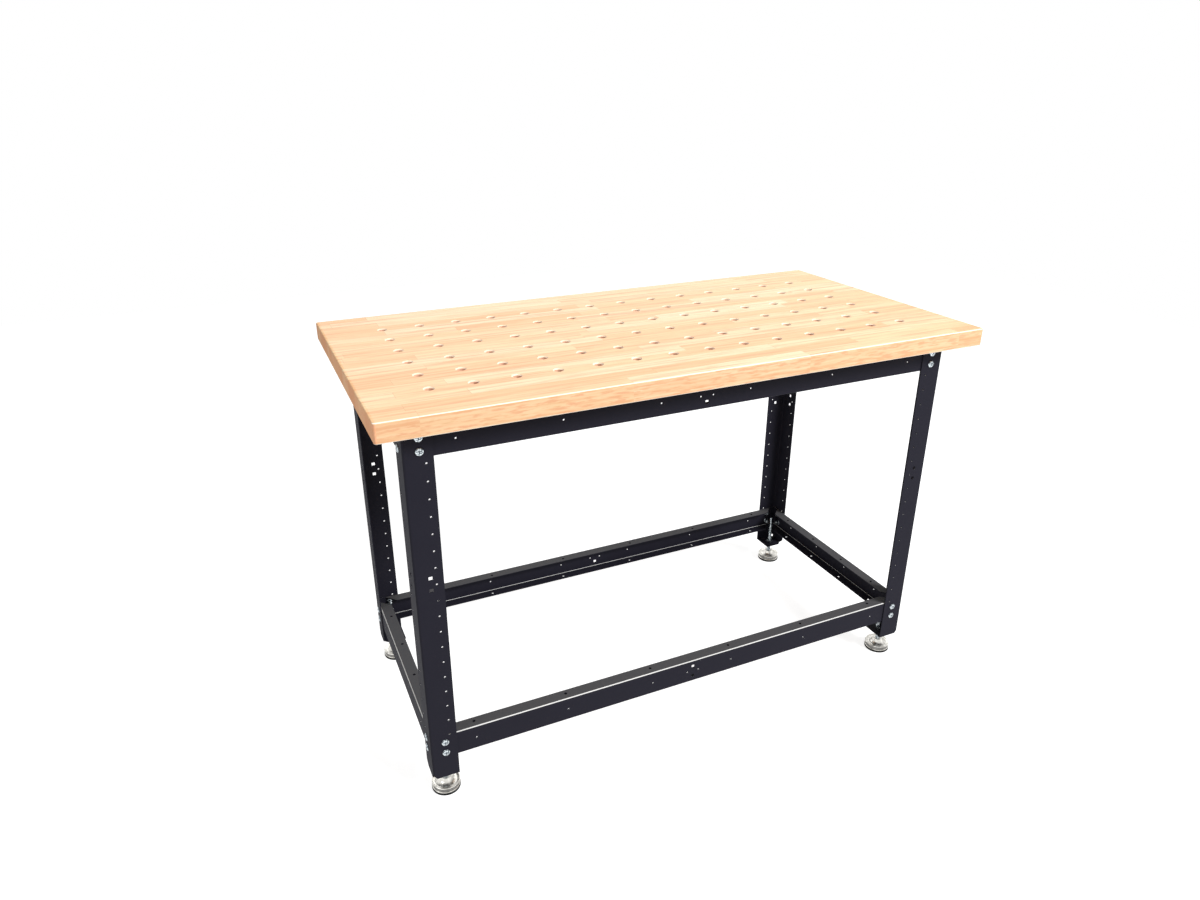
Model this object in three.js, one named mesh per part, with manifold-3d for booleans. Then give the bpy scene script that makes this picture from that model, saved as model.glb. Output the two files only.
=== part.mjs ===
// Assembly table: a butcher-block top with a grid of dog holes on a bolted frame of folded sheet steel,
// standing on four levelling feet. Millimetres, +Z up, the front faces -Y, the origin is on the floor
// under the middle of the top.
import * as THREE from "three";
import { mergeVertices } from "three/addons/utils/BufferGeometryUtils.js";
import Module from "manifold-3d";

// Table top
const TOP_LENGTH = 1524;
const TOP_DEPTH = 762;
const TOP_THICKNESS = 44.45;
const TOP_EDGE_ROUND = 3;
const TOP_CORNER_ROUND = 6;
const TOP_END_OVERHANG = 60.5; // from the outside of the legs to the end of the top
const TOP_SIDE_OVERHANG = 63; // from the outside of the legs to the long edge of the top
const DOG_DIAMETER = 20;
const DOG_PITCH = 95.25;
const DOG_EDGE_LEAST = 100; // least distance from a dog hole's centre to the edge
const DOG_SIDES = 8;

// Legs
const LEG_HEIGHT = 899;
const LEG_FLANGE = 63.5;
const LEG_SHEET = 2.5;
const LEG_BEND = 5; // outside radius of the fold
const LEG_CLIP = 12; // clipped lower corner of the flange beside the foot plate
const RELIEF_WIDTH = 9; // notch where the fold meets the foot plate
const RELIEF_HEIGHT = 12;
const PLATE_GAP = 1; // from the foot plate to the flange beside it

// Upper and lower rails
const APRON_HEIGHT = 72;
const RAIL_HEIGHT = 66;
const RAIL_FLANGE = 32;
const RAIL_SHEET = 2.5;
const RAIL_BEND = 4; // outside radius of the fold
const RAIL_END_GAP = 3; // from a rail's end to the rail round the corner
const STUD_ROOM = 18; // from the axis of a stud to where the rail's flange reaches its full depth
const COAT = 0.1; // paint film left between faces that are bolted together

// Punched holes
const PILOT_DIAMETER = 5;
const PILOT_SIDES = 5;
const FLANGE_HOLE_DIAMETER = 7.5; // in the flanges of the rails
const FLANGE_HOLE_SIDES = 6;
const LEG_PILOT_PITCH = 40.8;
const LEG_PILOT_INSET = 16; // from the free edge of the leg's flange
const LEG_PILOT_BOTTOM = 122; // from the bottom of the leg to the lowest hole
const LEG_PILOT_TOP_LEAST = 75; // least distance from the highest hole to the top of the leg
const LONG_PILOT_PITCH = 236;
const SHORT_PILOT_PITCH = 139;
const RAIL_PILOT_END_LEAST = 60; // least distance from a hole to the rail's end
const RAIL_PILOT_INSET = 13; // from the free edge of the rail's flange
const CENTRE_PILOT_SPACING = 33; // the two small holes beside the squares in the middle of a long rail

// Carriage bolts with flange nuts
const BOLT_INSET = 35; // from the outside of the leg's fold
const BOLT_SPACING = 30;
const UPPER_BOLT_DROP = 40.5; // from the top of the leg to the middle of the upper pair
const MIDDLE_BOLT_RISE = 532.5; // from the bottom of the leg to the middle of the spare pair
const LOWER_BOLT_RISE = 86.5; // from the bottom of the leg to the middle of the lower pair
const BOLT_DIAMETER = 8;
const BOLT_CLEARANCE = 0.5; // on each side of the bolt in its square hole
const BOLT_END = 4; // thread past the nut
const HEAD_DIAMETER = 18.5;
const HEAD_HEIGHT = 4.6;
const HEAD_SIDES = 8;
const NUT_ACROSS_CORNERS = 15;
const NUT_HEIGHT = 8;

// Levelling feet
const FOOT_INSET = 36; // from the outside of the leg to the axis of the stud, both ways
const FOOT_HEIGHT = 62; // from the floor to the foot plate as the table stands
const STUD_DIAMETER = 12;
const STUD_REACH = 99; // from the bottom of the leg to the top of the stud
const STUD_CHAMFER = 1.5;
const STUD_SIDES = 8;
const THREAD_CLEARANCE = 0.5; // round the stud in its nut and in the foot plate
const PLATE_NUT_ACROSS_CORNERS = 21;
const PLATE_NUT_HEIGHT = 10;
const PAD_DIAMETER = 68;
const PAD_HEIGHT = 20.5; // from the floor to the rim of the pad
const PAD_LIP = 3; // height of the lower lip and of the rim
const PAD_GROOVE = 2; // how far the band between lip and rim is drawn in
const PAD_RIM_ROUND = 2;
const BOSS_HEIGHT = 31; // from the floor to the top of the boss that holds the stud
const BOSS_DIAMETER = 24;
const BOSS_FOOT_DIAMETER = 34;
const BOSS_FOOT_HEIGHT = 22;
const SOCKET_FLOOR = 14;
const SOCKET_CLEARANCE = 0.4;
const SOLE_THICKNESS = 5;
const SOLE_INSET = 1.5; // from the edge of the pad to the edge of the sole
const PAD_SIDES = 14;
const ROUND_STEPS = 2; // steps in a rounded edge or a fold
const THROUGH = 5; // how far a cutter reaches past the sheet that it cuts

// Levels and places that follow from the sizes above
const LEG_X = TOP_LENGTH / 2 - TOP_END_OVERHANG;
const LEG_Y = TOP_DEPTH / 2 - TOP_SIDE_OVERHANG;
const LEG_TOP = FOOT_HEIGHT + LEG_HEIGHT;
const TOP_UNDERSIDE = LEG_TOP + COAT;
const UPPER_BOLT_LEVEL = LEG_TOP - UPPER_BOLT_DROP;
const LOWER_BOLT_LEVEL = FOOT_HEIGHT + LOWER_BOLT_RISE;
const RAIL_FACE = LEG_SHEET + COAT; // from the outside of the leg to the outside of a rail
const RAIL_END = RAIL_FACE + RAIL_SHEET + RAIL_END_GAP; // from the outside of the leg to a rail's end
const RAIL_TAPER_START = FOOT_INSET + STUD_ROOM; // from the outside of the leg
const SQUARE_HOLE = BOLT_DIAMETER + 2 * BOLT_CLEARANCE;

const wasm = await Module();
wasm.setup();

// A closed three.js geometry as a solid that can be joined and cut.
function solid(geometry) {
  const plain = geometry.clone();
  plain.deleteAttribute("normal");
  plain.deleteAttribute("uv");
  const merged = mergeVertices(plain, 1e-4);
  const triVerts = new Uint32Array(merged.index.array);
  const vertProperties = merged.attributes.position.array;
  return new wasm.Manifold(new wasm.Mesh({ numProp: 3, vertProperties, triVerts }));
}

function geometryOf(made) {
  const mesh = made.getMesh();
  const geometry = new THREE.BufferGeometry();
  geometry.setAttribute("position", new THREE.BufferAttribute(mesh.vertProperties, 3));
  geometry.setIndex(new THREE.BufferAttribute(mesh.triVerts, 1));
  return geometry.toNonIndexed();
}

function cut(body, cutters) {
  return cutters.reduce((rest, cutter) => rest.subtract(solid(cutter)), body);
}

// A round bar along an axis, centred on a point.
function bar(diameter, length, sides, axis, centre) {
  const geometry = new THREE.CylinderGeometry(diameter / 2, diameter / 2, length, sides);
  geometry.rotateY(Math.PI / sides);
  if (axis === "x") geometry.rotateZ(Math.PI / 2);
  if (axis === "z") geometry.rotateX(Math.PI / 2);
  return geometry.translate(centre[0], centre[1], centre[2]);
}

// A square punch along x or y, centred on a point.
function punch(length, axis, centre) {
  const size = axis === "x" ? [length, SQUARE_HOLE, SQUARE_HOLE] : [SQUARE_HOLE, length, SQUARE_HOLE];
  return new THREE.BoxGeometry(...size).translate(centre[0], centre[1], centre[2]);
}

// Places of a row with a given pitch, centred on 0, that keeps its distance from both ends.
function centredRow(length, pitch, endLeast) {
  const count = Math.floor((length - 2 * endLeast) / pitch) + 1;
  return Array.from({ length: count }, (_, i) => (i - (count - 1) / 2) * pitch);
}

function outline(points) {
  return new THREE.Shape(points.map(([x, y]) => new THREE.Vector2(x, y)));
}

function prism(shape, height) {
  const options = { depth: height, bevelEnabled: false, curveSegments: ROUND_STEPS };
  return new THREE.ExtrudeGeometry(shape, options);
}

function revolve(points, sides) {
  return new THREE.LatheGeometry(
    points.map(([radius, height]) => new THREE.Vector2(radius, height)),
    sides,
  ).rotateX(Math.PI / 2);
}

// Board with rounded corners and edges, drilled through by the grid of dog holes.
function topGeometry() {
  const x = TOP_LENGTH / 2 - TOP_EDGE_ROUND;
  const y = TOP_DEPTH / 2 - TOP_EDGE_ROUND;
  const r = TOP_CORNER_ROUND - TOP_EDGE_ROUND;
  const board = new THREE.Shape()
    .absarc(x - r, y - r, r, 0, Math.PI / 2)
    .absarc(r - x, y - r, r, Math.PI / 2, Math.PI)
    .absarc(r - x, r - y, r, Math.PI, 1.5 * Math.PI)
    .absarc(x - r, r - y, r, 1.5 * Math.PI, 2 * Math.PI);
  const blank = new THREE.ExtrudeGeometry(board, {
    depth: TOP_THICKNESS - 2 * TOP_EDGE_ROUND,
    bevelSize: TOP_EDGE_ROUND,
    bevelThickness: TOP_EDGE_ROUND,
    bevelSegments: ROUND_STEPS,
    curveSegments: ROUND_STEPS,
  }).translate(0, 0, TOP_EDGE_ROUND);
  const drills = [];
  for (const column of centredRow(TOP_LENGTH, DOG_PITCH, DOG_EDGE_LEAST))
    for (const row of centredRow(TOP_DEPTH, DOG_PITCH, DOG_EDGE_LEAST)) {
      const centre = [column, row, TOP_THICKNESS / 2];
      drills.push(bar(DOG_DIAMETER, TOP_THICKNESS + 2 * THROUGH, DOG_SIDES, "z", centre));
    }
  return geometryOf(cut(solid(blank), drills));
}

// Levels of the carriage bolts on a leg, from the bottom of the leg.
function boltRises(middles) {
  return middles.flatMap((middle) => [middle - BOLT_SPACING / 2, middle + BOLT_SPACING / 2]);
}

// Leg with its fold along the Z axis: one flange lies along +X and the other along +Y, and the foot plate
// is folded in from the flange along +X.
function legGeometry() {
  const fold = LEG_BEND;
  const inside = LEG_BEND - LEG_SHEET;
  const angle = new THREE.Shape()
    .moveTo(LEG_FLANGE, 0)
    .lineTo(LEG_FLANGE, LEG_SHEET)
    .lineTo(fold, LEG_SHEET)
    .absarc(fold, fold, inside, 1.5 * Math.PI, Math.PI, true)
    .lineTo(LEG_SHEET, LEG_FLANGE)
    .lineTo(0, LEG_FLANGE)
    .absarc(fold, fold, fold, Math.PI, 1.5 * Math.PI);
  const clip = prism(
    outline([[0, 0], [LEG_CLIP + THROUGH, 0], [0, LEG_CLIP + THROUGH]]),
    LEG_SHEET + 2 * THROUGH,
  )
    .rotateX(Math.PI / 2)
    .rotateZ(-Math.PI / 2)
    .translate(-THROUGH, LEG_FLANGE + THROUGH, -THROUGH);
  const relief = prism(
    outline([[-THROUGH, -THROUGH], [RELIEF_WIDTH, -THROUGH], [RELIEF_WIDTH, 0], [0, RELIEF_HEIGHT],
      [-THROUGH, RELIEF_HEIGHT]]),
    RELIEF_WIDTH + THROUGH,
  )
    .rotateX(Math.PI / 2)
    .translate(0, RELIEF_WIDTH, 0);
  const plateStart = LEG_SHEET + PLATE_GAP;
  const plate = prism(
    outline([[RELIEF_WIDTH, 0], [LEG_FLANGE, 0], [LEG_FLANGE, LEG_FLANGE],
      [plateStart + LEG_CLIP, LEG_FLANGE], [plateStart, LEG_FLANGE - LEG_CLIP],
      [plateStart, RELIEF_WIDTH], [RELIEF_WIDTH, RELIEF_WIDTH]]),
    LEG_SHEET,
  );
  const nutMiddle = LEG_SHEET + PLATE_NUT_HEIGHT / 2;
  const nut = bar(PLATE_NUT_ACROSS_CORNERS, PLATE_NUT_HEIGHT, 6, "z", [FOOT_INSET, FOOT_INSET, nutMiddle]);
  const threadHole = STUD_DIAMETER + 2 * THREAD_CLEARANCE;
  const thread = bar(
    threadHole / Math.cos(Math.PI / STUD_SIDES),
    2 * (LEG_SHEET + PLATE_NUT_HEIGHT + THROUGH),
    STUD_SIDES,
    "z",
    [FOOT_INSET, FOOT_INSET, 0],
  );

  const holes = [];
  const squares = boltRises([LOWER_BOLT_RISE, MIDDLE_BOLT_RISE, LEG_HEIGHT - UPPER_BOLT_DROP]);
  for (const rise of squares) {
    holes.push(punch(2 * THROUGH, "y", [BOLT_INSET, LEG_SHEET / 2, rise]));
    holes.push(punch(2 * THROUGH, "x", [LEG_SHEET / 2, BOLT_INSET, rise]));
  }
  const across = LEG_FLANGE - LEG_PILOT_INSET;
  const highest = LEG_HEIGHT - LEG_PILOT_TOP_LEAST;
  for (let rise = LEG_PILOT_BOTTOM; rise <= highest; rise += LEG_PILOT_PITCH) {
    holes.push(bar(PILOT_DIAMETER, 2 * THROUGH, PILOT_SIDES, "y", [across, LEG_SHEET / 2, rise]));
    holes.push(bar(PILOT_DIAMETER, 2 * THROUGH, PILOT_SIDES, "x", [LEG_SHEET / 2, across, rise]));
  }
  const folded = cut(solid(prism(angle, LEG_HEIGHT)), [clip, relief]);
  return geometryOf(cut(folded.add(solid(plate)).add(solid(nut)), [thread, ...holes]));
}

// Folded C-channel along X with its web facing -Y at y = 0 and its bolt line at z = 0.
function railGeometry(length, height, boltToTop, pitch, hasCentreHoles) {
  const fold = RAIL_BEND;
  const inside = RAIL_BEND - RAIL_SHEET;
  const top = boltToTop;
  const bottom = boltToTop - height;
  const quarter = Math.PI / 2;
  const channel = new THREE.Shape()
    .moveTo(RAIL_FLANGE, bottom)
    .lineTo(RAIL_FLANGE, bottom + RAIL_SHEET)
    .lineTo(fold, bottom + RAIL_SHEET)
    .absarc(fold, bottom + fold, inside, 3 * quarter, 2 * quarter, true)
    .lineTo(RAIL_SHEET, top - fold)
    .absarc(fold, top - fold, inside, 2 * quarter, quarter, true)
    .lineTo(RAIL_FLANGE, top - RAIL_SHEET)
    .lineTo(RAIL_FLANGE, top)
    .absarc(fold, top - fold, fold, quarter, 2 * quarter)
    .absarc(fold, bottom + fold, fold, 2 * quarter, 3 * quarter);
  const blank = prism(channel, length)
    .rotateX(quarter)
    .rotateZ(quarter)
    .translate(-length / 2, 0, 0);

  // The flanges taper at 45 degrees to leave the corner free for the stud of the levelling foot.
  const taperLength = RAIL_TAPER_START - RAIL_END;
  const taperFoot = taperLength - (RAIL_FLANGE - fold);
  const corner = outline([[0, fold], [taperFoot, fold], [taperLength, RAIL_FLANGE],
    [taperLength, RAIL_FLANGE + THROUGH], [-THROUGH, RAIL_FLANGE + THROUGH], [-THROUGH, fold]]);
  const cornerLeft = prism(corner, height + 2 * THROUGH).translate(-length / 2, 0, bottom - THROUGH);
  const cornerRight = cornerLeft.clone().rotateY(Math.PI).translate(0, 0, top + bottom);

  const holes = [];
  const boltX = length / 2 + RAIL_END - BOLT_INSET;
  const level = BOLT_SPACING / 2;
  for (const x of hasCentreHoles ? [-boltX, 0, boltX] : [-boltX, boltX])
    for (const z of [-level, level]) holes.push(punch(2 * THROUGH, "y", [x, RAIL_SHEET / 2, z]));
  const row = centredRow(length, pitch, RAIL_PILOT_END_LEAST);
  const centrePair = [-CENTRE_PILOT_SPACING / 2, CENTRE_PILOT_SPACING / 2];
  for (const x of hasCentreHoles ? [...row, ...centrePair] : row)
    holes.push(bar(PILOT_DIAMETER, 2 * THROUGH, PILOT_SIDES, "y", [x, RAIL_SHEET / 2, 0]));
  const flangeY = RAIL_FLANGE - RAIL_PILOT_INSET;
  const flangeZ = top - RAIL_SHEET / 2;
  for (const x of row)
    holes.push(bar(FLANGE_HOLE_DIAMETER, 2 * THROUGH, FLANGE_HOLE_SIDES, "z", [x, flangeY, flangeZ]));
  return geometryOf(cut(solid(blank), [cornerLeft, cornerRight, ...holes]));
}

// Carriage bolt along the Z axis with a domed head, a square neck and a nut. The head stands on the leg's
// face at z = 0.
function boltGeometry() {
  const nutSeat = -(RAIL_FACE + RAIL_SHEET + COAT);
  const nutMiddle = nutSeat - NUT_HEIGHT / 2;
  const end = nutSeat - NUT_HEIGHT - BOLT_END;
  const dome = [0, Math.PI / 4, Math.PI / 2].map((turn) => [
    (HEAD_DIAMETER / 2) * Math.cos(turn),
    COAT + (HEAD_HEIGHT - COAT) * Math.sin(turn),
  ]);
  const head = revolve([[0, COAT], ...dome], HEAD_SIDES);
  const neckLength = COAT + HEAD_HEIGHT / 2 - end;
  const neck = new THREE.BoxGeometry(BOLT_DIAMETER, BOLT_DIAMETER, neckLength);
  neck.translate(0, 0, end + neckLength / 2);
  const nut = bar(NUT_ACROSS_CORNERS, NUT_HEIGHT, 6, "z", [0, 0, nutMiddle]);
  return geometryOf(solid(head).add(solid(neck)).add(solid(nut)));
}

// Stepped metal pad with a drawn-in band and a boss that holds the end of the stud.
function padGeometry() {
  const edge = PAD_DIAMETER / 2;
  const base = SOLE_THICKNESS + COAT;
  const socket = STUD_DIAMETER / 2 + SOCKET_CLEARANCE;
  return revolve(
    [[0, base], [edge, base], [edge, base + PAD_LIP], [edge - PAD_GROOVE, base + 2 * PAD_LIP],
      [edge - PAD_GROOVE, PAD_HEIGHT - 2 * PAD_LIP], [edge, PAD_HEIGHT - PAD_LIP],
      [edge, PAD_HEIGHT - PAD_RIM_ROUND], [edge - PAD_RIM_ROUND, PAD_HEIGHT],
      [BOSS_FOOT_DIAMETER / 2, BOSS_FOOT_HEIGHT], [BOSS_DIAMETER / 2, BOSS_HEIGHT],
      [socket, BOSS_HEIGHT], [socket, SOCKET_FLOOR], [0, SOCKET_FLOOR]],
    PAD_SIDES,
  );
}

function soleGeometry() {
  const edge = PAD_DIAMETER / 2 - SOLE_INSET;
  return revolve([[0, 0], [edge, 0], [edge, SOLE_THICKNESS], [0, SOLE_THICKNESS]], PAD_SIDES);
}

function studGeometry() {
  const radius = STUD_DIAMETER / 2;
  const foot = SOCKET_FLOOR + SOCKET_CLEARANCE;
  const tip = FOOT_HEIGHT + STUD_REACH;
  return revolve(
    [[0, foot], [radius, foot], [radius, tip - STUD_CHAMFER], [radius - STUD_CHAMFER, tip], [0, tip]],
    STUD_SIDES,
  );
}

const material = (color, roughness, metalness) =>
  new THREE.MeshStandardMaterial({ color, roughness, metalness });
const maple = material(0xe3b983, 0.5, 0);
const blackPaint = material(0x26262b, 0.45, 0.1);
const zinc = material(0xb9bec4, 0.3, 0.9);
const nickel = material(0xc9c4b4, 0.25, 0.95);
const rubber = material(0x151515, 0.85, 0);

const table = new THREE.Group();

function place(parent, name, geometry, finish) {
  const mesh = new THREE.Mesh(geometry, finish);
  mesh.name = name;
  parent.add(mesh);
  return mesh;
}

place(table, "top", topGeometry(), maple).position.z = TOP_UNDERSIDE;

const corners = [
  ["front_left", 1, 1],
  ["front_right", -1, 1],
  ["back_left", 1, -1],
  ["back_right", -1, -1],
];
const legShape = legGeometry();
const boltShape = boltGeometry();
const padShape = padGeometry();
const soleShape = soleGeometry();
const studShape = studGeometry();
const boltLevels = boltRises([LOWER_BOLT_LEVEL, UPPER_BOLT_LEVEL]);
const boltNames = ["lower_1", "lower_2", "upper_1", "upper_2"];

for (const [corner, inX, inY] of corners) {
  const cornerX = -inX * LEG_X;
  const cornerY = -inY * LEG_Y;
  const leg = place(table, `leg_${corner}`, legShape, blackPaint);
  leg.position.set(cornerX, cornerY, FOOT_HEIGHT);
  leg.scale.set(inX, inY, 1);
  boltLevels.forEach((level, i) => {
    const faceBolt = place(table, `bolt_${corner}_face_${boltNames[i]}`, boltShape, zinc);
    faceBolt.position.set(cornerX + inX * BOLT_INSET, cornerY, level);
    faceBolt.rotation.x = (inY * Math.PI) / 2;
    const endBolt = place(table, `bolt_${corner}_end_${boltNames[i]}`, boltShape, zinc);
    endBolt.position.set(cornerX, cornerY + inY * BOLT_INSET, level);
    endBolt.rotation.y = (-inX * Math.PI) / 2;
  });
  const foot = new THREE.Group();
  foot.position.set(cornerX + inX * FOOT_INSET, cornerY + inY * FOOT_INSET, 0);
  table.add(foot);
  place(foot, `pad_${corner}`, padShape, nickel);
  place(foot, `sole_${corner}`, soleShape, rubber);
  place(foot, `stud_${corner}`, studShape, zinc);
}

// Front, back, left and right member of one level. Each side turns the same channel to face outwards.
function frameLevel(kind, level, height, boltToTop) {
  const long = railGeometry(2 * (LEG_X - RAIL_END), height, boltToTop, LONG_PILOT_PITCH, true);
  const short = railGeometry(2 * (LEG_Y - RAIL_END), height, boltToTop, SHORT_PILOT_PITCH, false);
  const sides = [
    ["front", long, 0, 0, RAIL_FACE - LEG_Y],
    ["back", long, Math.PI, 0, LEG_Y - RAIL_FACE],
    ["left", short, -Math.PI / 2, RAIL_FACE - LEG_X, 0],
    ["right", short, Math.PI / 2, LEG_X - RAIL_FACE, 0],
  ];
  for (const [side, shape, turn, x, y] of sides) {
    const member = place(table, `${kind}_${side}`, shape, blackPaint);
    member.rotation.z = turn;
    member.position.set(x, y, level);
  }
}

frameLevel("apron", UPPER_BOLT_LEVEL, APRON_HEIGHT, UPPER_BOLT_DROP);
frameLevel("rail", LOWER_BOLT_LEVEL, RAIL_HEIGHT, RAIL_HEIGHT / 2);

export default table;
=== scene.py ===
"""Looks of the assembly table: a butcher-block top with dog holes on a bolted frame of folded black steel
with levelling feet. Metres in the frame of the CAD part; profiles are written in millimetres."""
import math

import bmesh
import bpy
from mathutils import Euler, Matrix, Vector


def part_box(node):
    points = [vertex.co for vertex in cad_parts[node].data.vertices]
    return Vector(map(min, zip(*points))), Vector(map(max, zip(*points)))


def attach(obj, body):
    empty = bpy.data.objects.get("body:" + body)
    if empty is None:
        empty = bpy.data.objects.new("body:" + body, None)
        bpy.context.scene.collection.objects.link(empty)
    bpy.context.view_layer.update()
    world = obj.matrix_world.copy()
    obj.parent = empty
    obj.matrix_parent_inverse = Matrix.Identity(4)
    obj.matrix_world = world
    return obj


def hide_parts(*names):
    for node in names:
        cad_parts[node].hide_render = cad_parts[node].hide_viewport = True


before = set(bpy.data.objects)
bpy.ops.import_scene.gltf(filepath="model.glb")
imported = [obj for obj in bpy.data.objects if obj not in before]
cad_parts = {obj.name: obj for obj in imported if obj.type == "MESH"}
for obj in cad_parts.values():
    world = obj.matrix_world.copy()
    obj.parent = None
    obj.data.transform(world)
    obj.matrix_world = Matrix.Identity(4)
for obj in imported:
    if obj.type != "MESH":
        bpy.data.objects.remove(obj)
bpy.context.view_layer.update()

MM = 0.001

# Table top
EDGE_ROUND = 3
CORNER_ROUND = 6
ROUND_SEGMENTS = 5
DOG_DIAMETER = 20
DOG_CHAMFER = 2.4
DOG_PITCH = 95.25
DOG_COLUMNS = 14
DOG_ROWS = 6

# Folded sheet
SHEET = 2.5
LEG_BEND = 5
RAIL_BEND = 4
BEND_STEPS = 6
PILOT_DIAMETER = 4.4
FLANGE_HOLE_DIAMETER = 7.5
COLLAR_WALL = 1.2  # of the plunged holes in the lower rails
COLLAR_HEIGHT = 6
HOLE_STEPS = 20  # sides of a small hole
ROUND_STEPS = 32  # sides of a larger hole or a screw's head
FINE_STEPS = 40  # sides of a dog hole or a bolt's head
SQUARE_HOLE = 9
SQUARE_CORNER = 0.8
THROUGH = 6  # how far a cutter reaches past the sheet on both sides
MARGIN = 1  # how far other cutters reach past a face
SMOOTH_ANGLE = 32  # degrees, past which an edge stays sharp

# Legs
LEG_CLIP = 12
PLATE_GAP = 1
RELIEF_WIDTH = 9
RELIEF_HEIGHT = 12
LEG_PILOT_INSET = 16
LEG_PILOT_BOTTOM = 122
LEG_PILOT_PITCH = 40.8
LEG_PILOTS = 18
BOLT_INSET = 35
BOLT_SPACING = 30
UPPER_BOLT_DROP = 40.5
MIDDLE_BOLT_RISE = 532.5
LOWER_BOLT_RISE = 86.5
FOOT_INSET = 36

# Rails
TAPER_START = 54  # from the outside of the leg to the full depth of the flange
FLANGE_PILOT_INSET = 13
LONG_PILOT_PITCH = 236
LONG_PILOTS = 6
SHORT_PILOT_PITCH = 139
SHORT_PILOTS = 4
CENTRE_PILOT_SPACING = 33

# Bolts, nuts and screws
HEAD_DIAMETER = 18.5
HEAD_HEIGHT = 4.6
HEAD_RIM = 0.8
HEAD_CHAMFER = 0.3
HEAD_GAP = 0.1  # between the head and the leg
DOME_STEPS = 8
BOLT_RADIUS = 3.9
BOLT_PITCH = 1.41
BOLT_THREAD = 0.6
BOLT_END = 4  # how far the bolt stands out of its nut
THREAD_STEPS = 16
NUT_FLATS = 12.7
NUT_HEIGHT = 8
NUT_GAP = 0.2  # between the nut and the rail
NUT_TURNED = 0.8  # drop of the turned corners, as a share of what they stand out
NUT_STEPS = 48
NUT_FLANGE_RADIUS = 8.4
NUT_FLANGE_EDGE = 0.84
NUT_FLANGE_HEIGHT = 2
NUT_FLANGE_SLOPE = 2
PLATE_NUT_FLATS = 18.2
PLATE_NUT_HEIGHT = 10
SCREW_HEAD_RADIUS = 5.2
SCREW_HEAD_HEIGHT = 3.2
CROSS_REACH = 2.86  # half the length of a slot in the cross
CROSS_HALF = 0.6  # half its width
CROSS_DEPTH = 1.4
CROSS_MARGIN = 0.6

# Levelling feet
STUD_RADIUS = 6
STUD_PITCH = 1.75
STUD_THREAD = 0.75
STUD_CLEARANCE = 1.4  # of the hole in the foot plate, on the diameter
PAD_STEPS = 64
SOCKET_FLOOR = 14
BOSS_HEIGHT = 10.5  # over the rim of the pad
SOLE_BULGE = 2.3  # how far the loaded rubber stands out
SOLE_WRAP = 1.2  # how far the rubber comes up the edge of the pad

CORNERS = {"front_left": (1, 1), "front_right": (-1, 1), "back_left": (1, -1), "back_right": (-1, -1)}


def mesh_of(bm):
    """The bmesh as a mesh with its faces turned outwards."""
    bmesh.ops.recalc_face_normals(bm, faces=bm.faces)
    mesh = bpy.data.meshes.new("shape")
    bm.to_mesh(mesh)
    bm.free()
    return mesh


def joined(*meshes):
    """One mesh that holds all the given ones."""
    bm = bmesh.new()
    for mesh in meshes:
        bm.from_mesh(mesh)
    return mesh_of(bm)


def combined(body, tool, operation):
    """Boolean of two meshes: DIFFERENCE, UNION or INTERSECT."""
    target = bpy.data.objects.new("target", body)
    other = bpy.data.objects.new("tool", tool)
    for obj in (target, other):
        bpy.context.collection.objects.link(obj)
    step = target.modifiers.new("boolean", "BOOLEAN")
    step.operation = operation
    step.solver = "EXACT"
    step.object = other
    made = target.evaluated_get(bpy.context.evaluated_depsgraph_get())
    result = bpy.data.meshes.new_from_object(made)
    for obj in (target, other):
        bpy.data.objects.remove(obj)
    return result


def extruded(outline, length):
    """Closed outline in XY drawn up along Z."""
    bm = bmesh.new()
    base = bm.faces.new([bm.verts.new((x, y, 0)) for x, y in outline])
    lifted = bmesh.ops.extrude_face_region(bm, geom=[base])["geom"]
    raised = [v for v in lifted if isinstance(v, bmesh.types.BMVert)]
    bmesh.ops.translate(bm, vec=(0, 0, length), verts=raised)
    return mesh_of(bm)


def drawn(outline, length):
    """Closed outline in YZ drawn along X."""
    mesh = extruded(outline, length)
    mesh.transform(Matrix.Rotation(math.pi / 2, 4, "Z") @ Matrix.Rotation(math.pi / 2, 4, "X"))
    return mesh


def lathed(profile, steps):
    """Profile of (radius, height) points from axis to axis, turned about Z."""
    bm = bmesh.new()
    rings = []
    for radius, height in profile:
        count = steps if radius > 0 else 1
        turns = [2 * math.pi * k / steps for k in range(count)]
        rings.append([bm.verts.new((radius * math.cos(t), radius * math.sin(t), height)) for t in turns])
    for low, high in zip(rings, rings[1:]):
        for k in range(steps):
            n = (k + 1) % steps
            corners = [low[k % len(low)], low[n % len(low)], high[n % len(high)], high[k % len(high)]]
            bm.faces.new(list(dict.fromkeys(corners)))
    return mesh_of(bm)


def threaded(radius, depth, pitch, low, high, steps=THREAD_STEPS, rows=4):
    """Rod with a helical thread and chamfered ends."""
    bm = bmesh.new()
    count = round((high - low) / pitch * rows)
    rings = []
    for i in range(count + 1):
        height = low + (high - low) * i / count
        ring = []
        for k in range(steps):
            phase = (height / pitch - k / steps) % 1
            crest = 1 - abs(2 * phase - 1)
            taper = max(0, 1 - min(height - low, high - height) / (2 * depth))
            r = radius - depth * max(1 - crest, taper)
            turn = 2 * math.pi * k / steps
            ring.append(bm.verts.new((r * math.cos(turn), r * math.sin(turn), height)))
        rings.append(ring)
    for low_ring, high_ring in zip(rings, rings[1:]):
        for k in range(steps):
            n = (k + 1) % steps
            bm.faces.new([low_ring[k], low_ring[n], high_ring[n], high_ring[k]])
    bm.faces.new(rings[0])
    bm.faces.new(rings[-1])
    return mesh_of(bm)


def moved(mesh, x=0, y=0, z=0):
    mesh.transform(Matrix.Translation((x, y, z)))
    return mesh


def along(mesh, axis):
    """Turns a mesh made about Z to lie along another axis."""
    if axis == "x":
        mesh.transform(Matrix.Rotation(math.pi / 2, 4, "Y"))
    if axis == "y":
        mesh.transform(Matrix.Rotation(-math.pi / 2, 4, "X"))
    return mesh


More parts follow.
